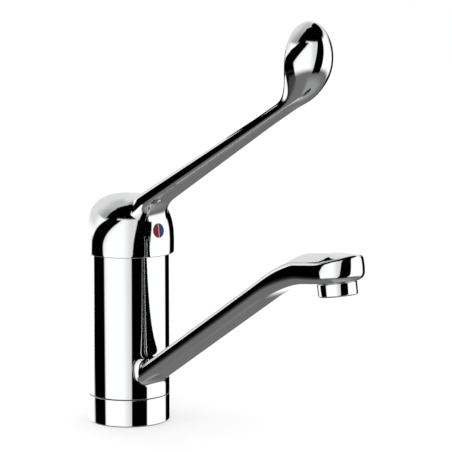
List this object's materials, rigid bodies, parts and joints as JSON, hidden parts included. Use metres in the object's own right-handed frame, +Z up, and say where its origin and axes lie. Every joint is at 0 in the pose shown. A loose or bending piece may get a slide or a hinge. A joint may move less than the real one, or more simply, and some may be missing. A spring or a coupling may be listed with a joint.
{
  "type": "single lever sink tap",
  "caption": "Chrome sink tap with a swivelling cast spout and a long spoon-ended lever that lifts for flow and turns for temperature.",
  "frame": {"origin": "middle of the foot's underside, on the deck face", "axes": "+Z up along the column, +X along the spout and the lever at rest, +Y to the cold side"},
  "size_m": [0.2322, 0.0594, 0.2691],
  "materials": {
    "chrome_plate": "bright polished chrome plate",
    "turned_brass": "bare turned brass",
    "pressed_steel": "pressed stainless sheet",
    "ring_steel": "drawn stainless steel",
    "screen_steel": "fine woven stainless wire",
    "slide_plastic": "natural white acetal",
    "cartridge_plastic": "dark grey moulded plastic",
    "rotor_plastic": "off-white moulded plastic",
    "insert_plastic": "light grey moulded plastic",
    "seal_rubber": "black moulded rubber",
    "disc_ceramic": "lapped alumina",
    "marker_rim": "plated plastic rim",
    "hot_red": "glossy dark red",
    "cold_blue": "glossy dark blue"
  },
  "bodies": {
    "column": {"base_ring": "chrome_plate", "base_gasket": "seal_rubber", "inner_body": "turned_brass", "lower_slide_ring": "slide_plastic", "upper_slide_ring": "slide_plastic", "lower_spout_seal": "seal_rubber", "upper_spout_seal": "seal_rubber", "spout_retaining_ring": "ring_steel", "swivel_stop_pin": "ring_steel", "cartridge_base": "cartridge_plastic", "cartridge_port_seals": "seal_rubber", "fixed_ceramic_disc": "disc_ceramic", "cartridge_housing": "cartridge_plastic", "cartridge_nut": "turned_brass", "cartridge_shroud": "pressed_steel"},
    "disc": {"moving_ceramic_disc": "disc_ceramic", "disc_carrier": "rotor_plastic"},
    "rotor": {"cartridge_rotor": "rotor_plastic", "lever_pivot_pin": "ring_steel"},
    "spout": {"spout_body": "chrome_plate", "aerator_shell": "chrome_plate", "aerator_washer": "seal_rubber", "aerator_insert": "insert_plastic", "aerator_screen": "screen_steel"},
    "lever": {"lever_stem": "ring_steel", "lever": "chrome_plate", "lever_grub_screw": "ring_steel", "index_plug": "marker_rim", "index_hot_half": "hot_red", "index_cold_half": "cold_blue"}
  },
  "joints": [
    {"name": "spout_swivel", "type": "hinge", "parent": "column", "child": "spout", "pos_m": [0, 0, 0.05], "axis": [0, 0, 1], "range_deg": [-70, 70]},
    {"name": "lever_turn", "type": "hinge", "parent": "column", "child": "rotor", "pos_m": [0, 0, 0.1], "axis": [0, 0, 1], "range_deg": [-50, 50]},
    {"name": "lever_lift", "type": "hinge", "parent": "rotor", "child": "lever", "pos_m": [0, 0, 0.1065], "axis": [0, -1, 0], "range_deg": [0, 25]},
    {"name": "disc_slide", "type": "slide", "parent": "rotor", "child": "disc", "axis": [1, 0, 0], "range_m": [0, 0.0045]}
  ],
  "couplings": [
    {"joint": "disc_slide", "follows": "lever_lift", "m_per_rad": 0.009976}
  ]
}
